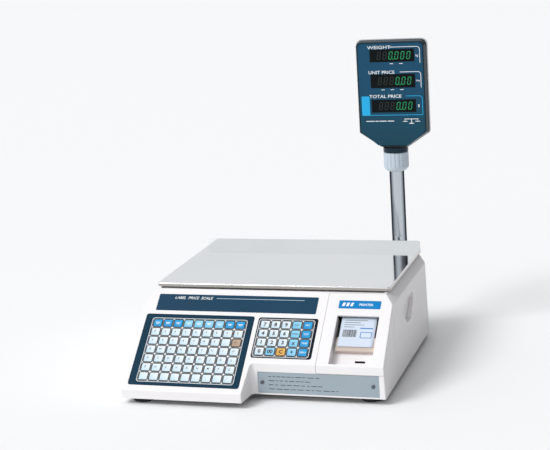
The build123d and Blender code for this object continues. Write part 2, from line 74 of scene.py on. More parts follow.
def makeCamera(view):
    az, el, roll = (math.radians(view[k]) for k in ("azimuth", "elevation", "roll"))
    back = Vector((math.sin(az) * math.cos(el), -math.cos(az) * math.cos(el), math.sin(el)))
    right = Vector((math.cos(az), math.sin(az), 0))
    up = back.cross(right)
    rolledRight = right * math.cos(roll) + up * math.sin(roll)
    rolledUp = up * math.cos(roll) - right * math.sin(roll)
    data = bpy.data.cameras.new("viewCamera")
    data.lens, data.sensor_width = view["lens"], view["sensor"]
    data.clip_start, data.clip_end = 0.05, 100
    camera = bpy.data.objects.new("viewCamera", data)
    camera.matrix_world = planeMatrix(view["place"], rolledRight, rolledUp)
    bpy.context.scene.collection.objects.link(camera)
    bpy.context.scene.camera = camera


makeCamera(cameraView)
print("camera set")


# shader maths

class Wire:
    # one value in a node tree; an expression on it adds Math nodes
    def __init__(self, owner, socket):
        self.owner, self.socket = owner, socket

    def join(self, operation, *values):
        return self.owner.node("ShaderNodeMath", {"operation": operation}, dict(enumerate(values)))

    def __add__(self, other):
        return self.join("ADD", self, other)

    def __radd__(self, other):
        return self.join("ADD", other, self)

    def __sub__(self, other):
        return self.join("SUBTRACT", self, other)

    def __rsub__(self, other):
        return self.join("SUBTRACT", other, self)

    def __mul__(self, other):
        return self.join("MULTIPLY", self, other)

    def __rmul__(self, other):
        return self.join("MULTIPLY", other, self)

    def __truediv__(self, other):
        return self.join("DIVIDE", self, other)

    def __rtruediv__(self, other):
        return self.join("DIVIDE", other, self)

    def __gt__(self, other):
        return self.join("GREATER_THAN", self, other)

    def __lt__(self, other):
        return self.join("LESS_THAN", self, other)

    def __abs__(self):
        return self.join("ABSOLUTE", self)

    def atLeast(self, other):
        return self.join("MAXIMUM", self, other)

    def atMost(self, other):
        return self.join("MINIMUM", self, other)

    def root(self):
        return self.join("SQRT", self)

    def part(self):
        return self.join("FRACT", self)

    def clamped(self):
        return self.atLeast(0).atMost(1)


class NodeTree:
    # the nodes of one material or sky; space names the coordinates that its patterns follow
    def __init__(self, tree, space):
        self.tree, self.space = tree, space
        self.coordinates = None

    def node(self, kind, settings, values, output=0):
        made = self.tree.nodes.new(kind)
        for key, value in settings.items():
            setattr(made, key, value)
        for key, value in values.items():
            if isinstance(value, Wire):
                self.tree.links.new(value.socket, made.inputs[key])
            else:
                made.inputs[key].default_value = value
        return Wire(self, made.outputs[output])

    def place(self):
        if self.coordinates is None:
            self.coordinates = self.node("ShaderNodeTexCoord", {}, {}, self.space)
        return self.coordinates

    def axes(self):
        return [self.node("ShaderNodeSeparateXYZ", {}, {"Vector": self.place()}, i) for i in range(3)]


class Finish(NodeTree):
    # a material, its Principled shader and the calls that feed it
    def __init__(self, name, colour, roughness=0.5, **fixed):
        self.material = bpy.data.materials.new(name)
        self.material.use_nodes = True
        super().__init__(self.material.node_tree, "Object")
        self.shader = self.tree.nodes["Principled BSDF"]
        self.shader.inputs["Base Color"].default_value = (*colour, 1)
        self.shader.inputs["Roughness"].default_value = roughness
        for socket, value in fixed.items():
            self.shader.inputs[socket.replace("_", " ")].default_value = value
        self.material.diffuse_color = (*colour, 1)

    def panelAxes(self):
        # x and v on the sloping panel
        x, y, z = self.axes()
        fromLip, above = y - panelShape["lipY"], z - panelShape["lipZ"]
        return x, fromLip * panelCos + above * panelSin

    def noise(self, scale, detail=3.0, roughness=0.5, stretch=(1, 1, 1)):
        where = self.node("ShaderNodeVectorMath", {"operation": "MULTIPLY"}, {0: self.place(), 1: stretch})
        return self.node("ShaderNodeTexNoise", {}, {"Vector": where, "Scale": scale, "Detail": detail,
                                                    "Roughness": roughness})

    def mix(self, factor, one, other):
        def colour(value):
            return value if isinstance(value, Wire) else (*value, 1)
        values = {0: factor, 6: colour(one), 7: colour(other)}
        return self.node("ShaderNodeMix", {"data_type": "RGBA"}, values, 2)

    def feed(self, socket, wire):
        self.tree.links.new(wire.socket, self.shader.inputs[socket])

    def bump(self, height, strength, distance=0.1 * mm):
        normal = self.node("ShaderNodeBump", {}, {"Height": height, "Strength": strength,
                                                  "Distance": distance})
        self.feed("Normal", normal)


def roundedBox(x, v, centre, size, radius):
    # distance outside a rounded rectangle, below 0 inside it
    awayX = abs(x - centre[0]) - (size[0] / 2 - radius)
    awayV = abs(v - centre[1]) - (size[1] / 2 - radius)
    cornerX, cornerV = awayX.atLeast(0), awayV.atLeast(0)
    corner = (cornerX * cornerX + cornerV * cornerV).root()
    return corner + awayX.atLeast(awayV).atMost(0) - radius


def tint(colour, factor):
    return tuple(min(1, c * factor) for c in colour)


def moulded(name, colour, roughness=0.45, grain=2400, depth=0.25, drift=0.05, **fixed):
    # moulded or rubbery surface: fine grain, slow colour drift and patchy shine
    finish = Finish(name, colour, roughness, **fixed)
    slow, fine = finish.noise(9, 3), finish.noise(grain, 2)
    finish.feed("Base Color", finish.mix(slow, tint(colour, 1 - drift), tint(colour, 1 + drift)))
    finish.feed("Roughness", roughness - 0.06 + 0.12 * finish.noise(45, 4))
    finish.bump(fine, depth)
    return finish


def metal(name, colour, roughness, grain=(1, 1, 1), scale=900, depth=0.06, drift=0.06):
    # brushed, drawn or cast metal; grain stretches its lines
    finish = Finish(name, colour, roughness, Metallic=1.0)
    lines = finish.noise(scale, 3, 0.6, grain)
    slow = finish.noise(14, 3)
    finish.feed("Base Color", finish.mix(slow, tint(colour, 1 - drift), tint(colour, 1 + drift)))
    finish.feed("Roughness", roughness * (0.75 + 0.5 * lines))
    finish.bump(lines, depth, 0.02 * mm)
    return finish


# keyboards

keyboards = {
    "pitch": (17.1 * mm, 16.2 * mm),
    "preset": {"grid": (9, 7), "centre": (-102.6 * mm, 74.0 * mm)},
    "numeric": {"grid": (5, 4), "centre": (39.5 * mm, 101.5 * mm)},
    "keyTop": 0.9 * mm,
    "frameCorner": 3.2 * mm, "cellGap": 0.2 * mm,
    "fieldCorner": 2.5 * mm, "outlineCorner": 4 * mm, "outlineReach": 3 * mm, "outlineHalf": 0.45 * mm,
    "teal": (0.004, 0.034, 0.066), "navy": (0.003, 0.009, 0.020),
    "outline": (0.82, 0.84, 0.86), "keyFrame": (0.075, 0.068, 0.066), "diamond": (0.80, 0.82, 0.84),
}


def cellAxes(finish, board):
    # place inside each key's cell, from -0.5 to 0.5, with the panel axes
    x, v = finish.panelAxes()
    pitchX, pitchV = keyboards["pitch"]
    columns, rows = board["grid"]
    left = board["centre"][0] - columns * pitchX / 2
    low = board["centre"][1] - rows * pitchV / 2
    return x, v, ((x - left) / pitchX).part() - 0.5, ((v - low) / pitchV).part() - 0.5


def overlayPrint(name, board, border):
    finish = Finish(name, border, 0.38, Specular_IOR_Level=0.1)
    x, v, cellX, cellV = cellAxes(finish, board)
    pitchX, pitchV = keyboards["pitch"]
    gridSize = (board["grid"][0] * pitchX, board["grid"][1] * pitchV)
    outer = [side + keyboards["outlineReach"] for side in gridSize]
    cellSize = (pitchX - keyboards["cellGap"], pitchV - keyboards["cellGap"])
    field = roundedBox(x, v, board["centre"], gridSize, keyboards["fieldCorner"])
    outline = roundedBox(x, v, board["centre"], outer, keyboards["outlineCorner"])
    cell = roundedBox(cellX * pitchX, cellV * pitchV, (0, 0), cellSize, keyboards["frameCorner"])
    drifted = finish.mix(finish.noise(22, 3), tint(border, 0.85), tint(border, 1.25))
    lined = finish.mix(abs(outline) < keyboards["outlineHalf"], drifted, keyboards["outline"])
    cells = finish.mix(cell < 0, keyboards["diamond"], keyboards["keyFrame"])
    finish.feed("Base Color", finish.mix(field < 0, lined, cells))
    finish.feed("Roughness", 0.33 + 0.14 * finish.noise(60, 3))
    finish.bump(finish.noise(3200, 2), 0.12)
    return finish


def paintedKeyShading(finish, cellX, cellV):
    # each key is painted lighter at its upper right and darker at its lower left: a painted highlight and
    # painted shade across the key
    return (0.5 - (cellX + cellV) * 0.75 + 0.15 * finish.noise(300, 2)).clamped()


def keySurface(finish):
    finish.feed("Roughness", 0.28 + 0.16 * finish.noise(160, 3))
    finish.bump(finish.noise(2600, 2), 0.1)


def keyFinish(name, paintedLitColour, paintedShadeColour, board):
    finish = Finish(name, paintedLitColour, 0.35)
    _, _, cellX, cellV = cellAxes(finish, board)
    # the key's colour runs from its painted highlight colour to its painted shade colour
    finish.feed("Base Color", finish.mix(paintedKeyShading(finish, cellX, cellV), paintedLitColour, paintedShadeColour))
    keySurface(finish)
    return finish


# each pair is a lit and a shaded copy of one key colour, for the painted highlight and painted shade on each
# key
keyColours = {
    "white": ((0.88, 0.92, 0.95), (0.56, 0.74, 0.86)),
    "lightBlue": ((0.34, 0.70, 0.92), (0.18, 0.54, 0.80)),
    "blue": ((0.0, 0.40, 0.78), (0.0, 0.26, 0.60)),
    "orange": ((0.86, 0.50, 0.12), (0.70, 0.34, 0.05)),
    "tan": ((0.54, 0.40, 0.29), (0.40, 0.28, 0.19)),
}


def presetKeyFinish():
    # the top row is blue with four lighter keys, and one key at the right is tan
    board = keyboards["preset"]
    finish = Finish("presetKeys", keyColours["white"][0], 0.35)
    x, v, cellX, cellV = cellAxes(finish, board)
    pitchX, pitchV = keyboards["pitch"]
    left = board["centre"][0] - board["grid"][0] * pitchX / 2
    top = board["centre"][1] + board["grid"][1] * pitchV / 2
    # painted highlight and painted shade across each key, lighter at its upper right
    paintedShading = paintedKeyShading(finish, cellX, cellV)

    def shaded(name):
        paintedLitColour, paintedShadeColour = keyColours[name]
        return finish.mix(paintedShading, paintedLitColour, paintedShadeColour)

    firstRow = v > top - pitchV
    middle = (x > left + 3 * pitchX) * (x < left + 7 * pitchX)
    tanKey = (x > left + 8 * pitchX) * (v < top - 2 * pitchV) * (v > top - 3 * pitchV)
    rowColour = finish.mix(middle, shaded("blue"), shaded("lightBlue"))
    keys = finish.mix(firstRow, shaded("white"), rowColour)
    finish.feed("Base Color", finish.mix(tanKey, keys, shaded("tan")))
    keySurface(finish)
    return finish


# special finishes

platterLook = {"colour": (0.93, 0.95, 0.97), "paintedLipReflectionColour": (0.42, 0.39, 0.36), "lipHeight": 4.0 * mm}


def platterFinish():
    # brushed along x; the lip is painted a darker brown-grey, a painted reflection on the same steel
    colour = platterLook["colour"]
    finish = Finish("polishedPlatter", colour, 0.08, Metallic=1.0)
    _, _, z = finish.axes()
    lines = finish.noise(700, 3, 0.6, (0.04, 1, 1))
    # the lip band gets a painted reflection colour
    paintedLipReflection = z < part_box("platter")[0].z + platterLook["lipHeight"]
    clean = finish.mix(finish.noise(6, 3), tint(colour, 0.95), tint(colour, 1.06))
    finish.feed("Base Color", finish.mix(paintedLipReflection, clean, platterLook["paintedLipReflectionColour"]))
    finish.feed("Roughness", 0.03 + 0.06 * lines + 0.05 * finish.noise(12, 3))
    finish.bump(lines, 0.02, 0.005 * mm)
    return finish


def headPanelFinish():
    upper, lower = (0.010, 0.072, 0.140), (0.010, 0.058, 0.088)
    finish = Finish("displayPanel", upper, 0.24, Specular_IOR_Level=0.15)
    _, _, z = finish.axes()
    low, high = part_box("head_panels")
    height = (z - low.z) / (high.z - low.z)
    finish.feed("Base Color", finish.mix((height * 1.6 + 0.08 * finish.noise(30, 3)).clamped(), lower, upper))
    finish.feed("Roughness", 0.2 + 0.1 * finish.noise(70, 3))
    finish.bump(finish.noise(2800, 2), 0.05)
    return finish


boardLook = {"top": 33.8 * mm, "tracksPerMetre": 400}      # whatever stands above top is a black component


def boardFinish():
    finish = Finish("circuitBoard", (0.01, 0.12, 0.05), 0.4)
    x, _, z = finish.axes()
    tracks = ((x * boardLook["tracksPerMetre"]).part() < 0.3) * (finish.noise(90, 1) > 0.5)
    sheet = finish.mix(tracks, (0.01, 0.11, 0.05), (0.03, 0.2, 0.09))
    finish.feed("Base Color", finish.mix(z > boardLook["top"], sheet, (0.02, 0.02, 0.02)))
    finish.feed("Roughness", 0.34 + 0.2 * finish.noise(80, 3))
    finish.bump(finish.noise(900, 2), 0.12)
    return finish


ringsPerMetre = 2500


def rollFinish():
    # wound paper: fine rings on the ends
    finish = Finish("woundPaper", (0.86, 0.88, 0.90), 0.75)
    _, y, z = finish.axes()
    low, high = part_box("label_roll")
    fromAxisY, fromAxisZ = y - (low.y + high.y) / 2, z - (low.z + high.z) / 2
    radius = (fromAxisY * fromAxisY + fromAxisZ * fromAxisZ).root()
    rings = (radius * ringsPerMetre).part() * 0.5 + 0.5 * finish.noise(200, 2)
    finish.feed("Base Color", finish.mix(rings, (0.72, 0.74, 0.76), (0.90, 0.91, 0.92)))
    finish.feed("Roughness", 0.68 + 0.12 * finish.noise(120, 3))
    finish.bump(rings, 0.2)
    return finish


casePlastic = moulded("casePlastic", (0.89, 0.87, 0.88), 0.42, 2000, 0.22, 0.025)
bracketPlastic = moulded("bracketPlastic", (0.78, 0.765, 0.76), 0.46, 2000, 0.22, 0.03)
collarPlastic = moulded("collarPlastic", (0.52, 0.60, 0.68), 0.40, 2200, 0.2, 0.05)
rimPlastic = moulded("headRim", (0.72, 0.73, 0.74), 0.35, 2200, 0.15, 0.03)
headGloss = moulded("headGloss", (0.005, 0.022, 0.036), 0.22, 2600, 0.05, 0.1, Specular_IOR_Level=0.2)
windowFilm = moulded("windowFilm", (0.010, 0.052, 0.105), 0.3, 2600, 0.05, 0.12, Specular_IOR_Level=0.15)
badgeFilm = moulded("badgeFilm", (0.0, 0.22, 0.56), 0.3, 2600, 0.05, 0.06, Specular_IOR_Level=0.2)
smokedWindow = moulded("smokedWindow", (0.001, 0.003, 0.004), 0.2, 2600, 0.03, 0.3, Specular_IOR_Level=0.12)
labelPaper = moulded("labelPaper", (0.66, 0.74, 0.86), 0.7, 1500, 0.2, 0.03)
supportPlastic = moulded("supportPlastic", (0.60, 0.50, 0.44), 0.5, 2000, 0.25, 0.05)
blackPlastic = moulded("blackPlastic", (0.02, 0.02, 0.022), 0.4, 2200, 0.25, 0.2)
rubber = moulded("rubber", (0.025, 0.025, 0.027), 0.75, 1400, 0.4, 0.2)
supplyPaint = moulded("supplyPaint", (0.30, 0.31, 0.32), 0.45, 1600, 0.3, 0.05)
basePaint = moulded("basePaint", (0.36, 0.36, 0.36), 0.5, 1500, 0.35, 0.05)
platePrint = metal("plateMetal", (0.40, 0.47, 0.52), 0.35, (0.05, 1, 1), 900, 0.08)
zincSteel = metal("zincSteel", (0.62, 0.62, 0.60), 0.32, (1, 1, 0.1), 500, 0.1)
castMetal = metal("castAluminium", (0.55, 0.56, 0.57), 0.5, (1, 1, 1), 350, 0.5)
milledMetal = metal("milledAluminium", (0.70, 0.71, 0.72), 0.3, (0.05, 1, 1), 600, 0.1)
darkSteel = metal("darkSteel", (0.16, 0.18, 0.20), 0.35, (1, 1, 1), 500, 0.1)


def poleFinish():
    # chrome whose colour is painted darker where the tube turns away from the view: a painted dark reflection
    # along its edges
    finish = Finish("poleChrome", (0.55, 0.58, 0.62), 0.1, Metallic=1.0, Specular_Tint=(0.3, 0.33, 0.37, 1))
    turned = finish.node("ShaderNodeLayerWeight", {}, {"Blend": 0.5}, "Facing")
    lines = finish.noise(900, 3, 0.6, (1, 1, 0.03))
    # painted dark reflection towards the tube's edges, where it turns away from the view
    paintedEdgeReflection = ((turned - 0.12) * 3.2).clamped()
    middle = finish.mix(lines, (0.46, 0.50, 0.55), (0.60, 0.63, 0.67))
    finish.feed("Base Color", finish.mix(paintedEdgeReflection, middle, (0.045, 0.055, 0.065)))
    finish.feed("Roughness", 0.07 + 0.06 * lines)
    finish.bump(lines, 0.03, 0.02 * mm)
    return finish


nodeFinishes = {
    casePlastic: ("upper_cover", "printer_bezel", "side_door"),
    bracketPlastic: ("pole_bracket",),
    basePaint: ("base_plate",),
    collarPlastic: ("collar_nut",),
    rimPlastic: ("head_band",),
    headGloss: ("head_front_shell", "head_rear_shell", "head_neck"),
    windowFilm: ("operator_window",),
    badgeFilm: ("badge_plate",),
    smokedWindow: ("head_windows",),
    headPanelFinish(): ("head_panels",),
    overlayPrint("presetOverlay", keyboards["preset"], keyboards["teal"]): ("preset_overlay",),
    overlayPrint("numericOverlay", keyboards["numeric"], keyboards["navy"]): ("numeric_overlay",),
    presetKeyFinish(): ("preset_keys",),
    supportPlastic: ("peel_plate",),
    labelPaper: ("printed_label",),
    blackPlastic: ("print_head", "power_inlet", "power_switch"),
    rubber: ("platen_roller", "spider_pads", "foot_front_left", "foot_front_right",
             "foot_rear_left", "foot_rear_right"),
    zincSteel: ("printer_frame", "bracket_screws"),
    darkSteel: ("rating_plate_screws",),
    platePrint: ("rating_plate",),
    platterFinish(): ("platter",),
    castMetal: ("platter_spider",),
    milledMetal: ("load_cell_fixed", "load_cell_live"),
    poleFinish(): ("pole",),
    supplyPaint: ("power_supply",),
    boardFinish(): ("main_board",),
    rollFinish(): ("label_roll",),
}

keyTints = {
    "key_pay": "lightBlue", "key_void": "lightBlue", "key_times": "lightBlue", "key_00": "lightBlue",
    "key_plus": "lightBlue", "key_print": "blue", "key_total": "blue", "key_tare": "blue",
    "key_zero": "blue", "key_clear": "orange",
}


def paint(node, finish):
    slots = nodes[node].data.materials
    slots.clear()
    slots.append(finish.material)


for finish, names in nodeFinishes.items():
    for name in names:
        paint(name, finish)
numericKeys = sorted(n for n in nodes if n.startswith("key_"))
keyFinishes = {name: keyFinish("key" + name[0].upper() + name[1:], *pair, keyboards["numeric"])
               for name, pair in keyColours.items() if name != "tan"}
for name in numericKeys:
    paint(name, keyFinishes[keyTints.get(name, "white")])
print("finishes on", sum(len(n) for n in nodeFinishes.values()) + len(numericKeys), "CAD nodes")


# printed and lettered pieces

def ink(name, colour, roughness=0.5, **fixed):
    finish = Finish(name, colour, roughness, **fixed)
    speck = finish.noise(1800, 3)
    finish.feed("Base Color", finish.mix(speck, tint(colour, 0.88), tint(colour, 1.08)))
    finish.feed("Roughness", roughness - 0.08 + 0.16 * speck)
    finish.bump(speck, 0.1, 0.02 * mm)
    return finish


whiteInk = ink("whiteInk", (0.92, 0.94, 0.96), 0.45)
darkInk = ink("darkInk", (0.03, 0.025, 0.022), 0.5)
paleInk = ink("paleInk", (0.46, 0.60, 0.70), 0.5)
cyanInk = ink("cyanInk", (0.0, 0.42, 0.80), 0.4)
blueInk = ink("blueInk", (0.05, 0.22, 0.55), 0.5)
litDigits = ink("litDigits", (0.01, 0.25, 0.09), 0.3,
                Emission_Color=(0.0, 0.36, 0.12, 1), Emission_Strength=0.4)
dimDigits = ink("dimDigits", (0.003, 0.018, 0.012), 0.3)


capitalShare = 0.70                        # a capital's height over the font's size
weldDistance = 0.001 * mm


class Stencil:
    # collects bars, ribbons and words on one plane, then makes one raised piece of them
    def __init__(self, name, relief=0.06 * mm):
        self.name, self.relief, self.mesh = name, relief, bmesh.new()

    def polygon(self, points):
        lower = [self.mesh.verts.new((u, v, 0)) for u, v in points]
        upper = [self.mesh.verts.new((u, v, self.relief)) for u, v in points]
        self.mesh.faces.new(upper)
        self.mesh.faces.new(lower[::-1])
        for i in range(len(points)):
            j = (i + 1) % len(points)
            self.mesh.faces.new((lower[i], lower[j], upper[j], upper[i]))

    def bar(self, left, right, low, high, corner=0.0, steps=4):
        if corner <= 0:
            self.polygon([(left, low), (right, low), (right, high), (left, high)])
            return
        points = []
        corners = ((right - corner, low + corner, -90), (right - corner, high - corner, 0),
                   (left + corner, high - corner, 90), (left + corner, low + corner, 180))
        for centreU, centreV, start in corners:
            for step in range(steps + 1):
                angle = math.radians(start + 90 * step / steps)
                points.append((centreU + corner * math.cos(angle), centreV + corner * math.sin(angle)))
        self.polygon(points)

    def ribbon(self, points, width):
        # a strip of even width along a line, mitred at its corners
        line = [Vector(p) for p in points]
        left, right = [], []
        for i, point in enumerate(line):
            before = (point - line[i - 1]).normalized() if i else (line[1] - point).normalized()
            after = (line[i + 1] - point).normalized() if i + 1 < len(line) else before
            along = (before + after).normalized()
            side = Vector((-along.y, along.x)) * (width / 2 / max(0.3, along.dot(after)))
            left.append(tuple(point + side))
            right.append(tuple(point - side))
        for i in range(len(line) - 1):
            self.polygon([right[i], right[i + 1], left[i + 1], left[i]])

    def word(self, text, u, v, height, align="CENTER", slant=0.0, width=1.0, weight=0.0):
        # height is that of a capital; u and v are its anchor at mid height
        curve = bpy.data.curves.new("word", "FONT")
        curve.body, curve.align_x, curve.size = text, align, height / capitalShare
        curve.shear, curve.offset, curve.resolution_u = slant, weight, 3
        curve.extrude = self.relief / 2
        holder = bpy.data.objects.new("word", curve)
        bpy.context.scene.collection.objects.link(holder)
        solved = holder.evaluated_get(bpy.context.evaluated_depsgraph_get())
        shape = bpy.data.meshes.new_from_object(solved)
        moved = Matrix.Translation((u, v - height / 2, self.relief / 2))
        shape.transform(moved @ Matrix.Diagonal((width, 1, 1, 1)))
        self.mesh.from_mesh(shape)
        bpy.data.objects.remove(holder)
        bpy.data.curves.remove(curve)
        bpy.data.meshes.remove(shape)

    def make(self, plane, finish, body, slotName):
        bmesh.ops.remove_doubles(self.mesh, verts=self.mesh.verts, dist=weldDistance)
        shape = bpy.data.meshes.new(self.name)
        self.mesh.to_mesh(shape)
        self.mesh.free()
        shape.transform(plane)
        shape.materials.append(finish.material)
        piece = bpy.data.objects.new(self.name, shape)
        bpy.context.scene.collection.objects.link(piece)
        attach(piece, body)


def lifted(plane, height):
    return plane @ Matrix.Translation((0, 0, height))


def keyPlaces(board):
    columns, rows = board["grid"]
    for row in range(rows):
        for column in range(columns):
            yield (row, column, board["centre"][0] + (column - (columns - 1) / 2) * keyboards["pitch"][0],
                   board["centre"][1] + ((rows - 1) / 2 - row) * keyboards["pitch"][1])


legends = {
    "rows": (("7", "8", "9", "PAY", "PRT"), ("4", "5", "6", "VOID", "TOT"),
             ("1", "2", "3", "x", "TARE"), ("0", "00", "C", "+", "ZERO")),
    "names": (("key_7", "key_8", "key_9", "key_pay", "key_print"),
              ("key_4", "key_5", "key_6", "key_void", "key_total"),
              ("key_1", "key_2", "key_3", "key_times", "key_tare"),
              ("key_0", "key_00", "key_clear", "key_plus", "key_zero")),
    "digitHeight": 6.0 * mm, "wordHeight": 2.8 * mm,
    # the top row has bars, the next five a letter or digit each, and the lowest is blank
    "presetRows": ("234567890", "3456789.0", "QWERTYUIO", "ASDFGHJKL", "ZXCVBNMPQ"),
    "presetHeight": 3.2 * mm, "presetShift": (-1.2 * mm, 0.8 * mm),
    # half width, low and high of each bar, from the key's middle
    "topBars": ((3.6 * mm, 0.4 * mm, 1.5 * mm), (2.4 * mm, -1.7 * mm, -0.6 * mm)), "barCorner": 0.3 * mm,
    "digitWeight": 0.34 * mm, "wordWeight": 0.05 * mm,
}
keyFace = lifted(panelPlane, keyboards["keyTop"])

for row, column, x, v in keyPlaces(keyboards["numeric"]):
    text, body = legends["rows"][row][column], legends["names"][row][column]
    tall = len(text) < 3
    height = legends["digitHeight"] if tall else legends["wordHeight"]
    weight = legends["digitWeight"] if tall else legends["wordWeight"]
    stencil = Stencil("legend_" + body)
    stencil.word(text, x, v, height, weight=weight)
    light = keyTints.get(body) == "blue"
    stencil.make(keyFace, whiteInk if light else darkInk, body, "key_white")

presetMarks, presetLights = Stencil("preset_legends"), Stencil("preset_top_row_marks")
for row, column, x, v in keyPlaces(keyboards["preset"]):
    if row == 0:
        for half, low, high in legends["topBars"]:
            presetLights.bar(x - half, x + half, v + low, v + high, legends["barCorner"])
    elif row <= len(legends["presetRows"]):
        shiftX, shiftV = legends["presetShift"]
        presetMarks.word(legends["presetRows"][row - 1][column], x + shiftX, v + shiftV,
                         legends["presetHeight"], weight=legends["wordWeight"])
presetMarks.make(keyFace, darkInk, "base", "key_white")
presetLights.make(keyFace, whiteInk, "base", "key_white")
print("key legends made")

# heading and rule in the operator window, mark on the badge
headings = {
    "left": -154 * mm, "level": 171.5 * mm, "filmTop": 0.3 * mm,
    "height": 4.8 * mm, "slant": 0.25, "weight": 0.06 * mm,
    "ruleEnds": (-84 * mm, 60 * mm), "ruleBand": (-0.5 * mm, 0.4 * mm),
}
badgeMark = {
    "centre": (148.6 * mm, 166.5 * mm), "bars": 3, "firstBar": -28 * mm, "barPitch": 6.5 * mm,
    "barWidth": 4 * mm, "barLean": 2 * mm, "barHalf": 3.2 * mm,
    "wordShift": 10 * mm, "wordHeight": 4.0 * mm, "wordWeight": 0.1 * mm,
}


def makeHeading(values):
    plane, level = lifted(panelPlane, values["filmTop"]), values["level"]
    heading = Stencil("window_heading")
    heading.word("LABEL  PRICE  SCALE", values["left"], level, values["height"], "LEFT", values["slant"],
                 weight=values["weight"])
    heading.make(plane, whiteInk, "base", "window_film")
    rule = Stencil("window_rule")
    low, high = values["ruleBand"]
    rule.bar(*values["ruleEnds"], level + low, level + high)
    rule.make(plane, paleInk, "base", "window_film")


def makeBadgeMark(values):
    # slanted bars, then plain lettering
    badge = Stencil("badge_mark")
    x, v = values["centre"]
    low, high = v - values["barHalf"], v + values["barHalf"]
    for step in range(values["bars"]):
        left = x + values["firstBar"] + step * values["barPitch"]
        right, lean = left + values["barWidth"], values["barLean"]
        badge.polygon([(left, low), (right, low), (right + lean, high), (left + lean, high)])
    badge.word("PRINTER", x + values["wordShift"], v, values["wordHeight"], weight=values["wordWeight"])
    badge.make(lifted(panelPlane, headings["filmTop"]), whiteInk, "base", "badge_film")


makeHeading(headings)
makeBadgeMark(badgeMark)

# fine lines on the rating plate
plateLow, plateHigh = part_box("rating_plate")
frontPlane = planeMatrix((0, plateLow.y, 0), (1, 0, 0), (0, 0, 1))
ratingLines = {
    "rows": 4, "first": 17 * mm, "last": 150 * mm, "height": 1.0 * mm, "seed": 7,
    "shares": (0.5, 1.0), "dash": (3, 11), "gap": (1.2, 3.5), "corner": 0.2 * mm,      # dash and gap in mm
}


def makeRatingLines(values):
    # rows of short dashes that stand for fine print
    rng = random.Random(values["seed"])
    lines = Stencil("rating_plate_lines")
    step = (plateHigh.z - plateLow.z) / (values["rows"] + 1)
    for row in range(values["rows"]):
        z, x = plateHigh.z - step * (row + 1), plateLow.x + values["first"]
        low, high = z - values["height"] / 2, z + values["height"] / 2
        end = plateLow.x + values["last"] * rng.uniform(*values["shares"])
        while x < end:
            long = rng.uniform(*values["dash"]) * mm
            lines.bar(x, x + long, low, high, values["corner"], 2)
            x += long + rng.uniform(*values["gap"]) * mm
    lines.make(frontPlane, darkInk, "base", "plate_metal")


makeRatingLines(ratingLines)
print("headings and plate made")


# printed label, curling a little at its free end

labelShape = {
    "x": 150 * mm, "width": 55 * mm, "low": 95 * mm, "high": 149.5 * mm, "n": -8 * mm,
    "curl": 1.2 * mm, "curlLength": 22 * mm, "thick": 0.2 * mm, "rows": 24, "columns": 8,
}
# places from the label's left or right edge, levels up the panel
labelPrint = {
    "seed": 11, "margin": 5 * mm, "lift": 0.02 * mm,
    "barcodeEnd": 26 * mm, "barcodeBand": (113 * mm, 126 * mm),
    "barWidths": (0.35, 0.6, 0.9), "barGaps": (0.4, 0.7),                              # mm
    "lines": ((143, 0.85), (139, 0.6), (135, 0.75), (131, 0.4)),                       # level in mm, share
    "lineLength": 42 * mm, "lineHalf": 0.35 * mm,
    "blueBar": (24 * mm, 4 * mm, 128 * mm, 130 * mm),
    "blueRule": (4 * mm, 4 * mm, 106.5 * mm, 107.6 * mm),
    "box": (22 * mm, 5 * mm, 112 * mm, 122 * mm), "boxLine": 1.2 * mm,
}


def labelRise(v):
    near = max(0.0, 1 - (v - labelShape["low"]) / labelShape["curlLength"])
    return labelShape["curl"] * near * near


def makeLabel(values):
    shape = bmesh.new()
    half, rows, columns = values["width"] / 2, values["rows"], values["columns"]
    grid = []
    for row in range(rows + 1):
        v = values["low"] + (values["high"] - values["low"]) * row / rows
        n = values["n"] + labelRise(v)
        line = [values["x"] - half + 2 * half * c / columns for c in range(columns + 1)]
        grid.append([shape.verts.new((x, v, n)) for x in line])
    for row in range(rows):
        for c in range(columns):
            shape.faces.new((grid[row][c], grid[row][c + 1], grid[row + 1][c + 1], grid[row + 1][c]))
    skin = bpy.data.meshes.new("label_sheet")
    shape.to_mesh(skin)
    shape.free()
    skin.transform(panelPlane)
    skin.materials.append(labelPaper.material)
    skin.polygons.foreach_set("use_smooth", [True] * len(skin.polygons))
    piece = bpy.data.objects.new("label_sheet", skin)
    bpy.context.scene.collection.objects.link(piece)
    thick = piece.modifiers.new("thickness", "SOLIDIFY")
    thick.thickness, thick.offset = values["thick"], -1
    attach(piece, "base")
    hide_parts("printed_label")


def makeLabelPrint(label, values):
    rng = random.Random(values["seed"])
    marks, frameMarks = Stencil("label_marks"), Stencil("label_blue_frame")
    left, right = label["x"] - label["width"] / 2, label["x"] + label["width"] / 2
    margin = left + values["margin"]
    x = margin
    while x < left + values["barcodeEnd"]:
        bar = rng.choice(values["barWidths"]) * mm
        marks.bar(x, x + bar, *values["barcodeBand"])
        x += bar + rng.choice(values["barGaps"]) * mm
    for v, share in values["lines"]:
        low, high = v * mm - values["lineHalf"], v * mm + values["lineHalf"]
        marks.bar(margin, margin + share * values["lineLength"], low, high)
    fromRight, toRight, low, high = values["blueBar"]
    frameMarks.bar(right - fromRight, right - toRight, low, high)
    fromLeft, toRight, low, high = values["blueRule"]
    frameMarks.bar(left + fromLeft, right - toRight, low, high)
    fromRight, toRight, low, high = values["box"]
    boxLeft, boxRight = right - fromRight, right - toRight
    frameMarks.ribbon([(boxLeft, low), (boxRight, low), (boxRight, high), (boxLeft, high), (boxLeft, low)],
                      values["boxLine"])
    for stencil, finish in ((marks, darkInk), (frameMarks, blueInk)):
        stencil.make(lifted(panelPlane, label["n"] + values["lift"]), finish, "base", "label_paper")


makeLabel(labelShape)
makeLabelPrint(labelShape, labelPrint)
print("label made")


# display head: the same print and digits on both faces

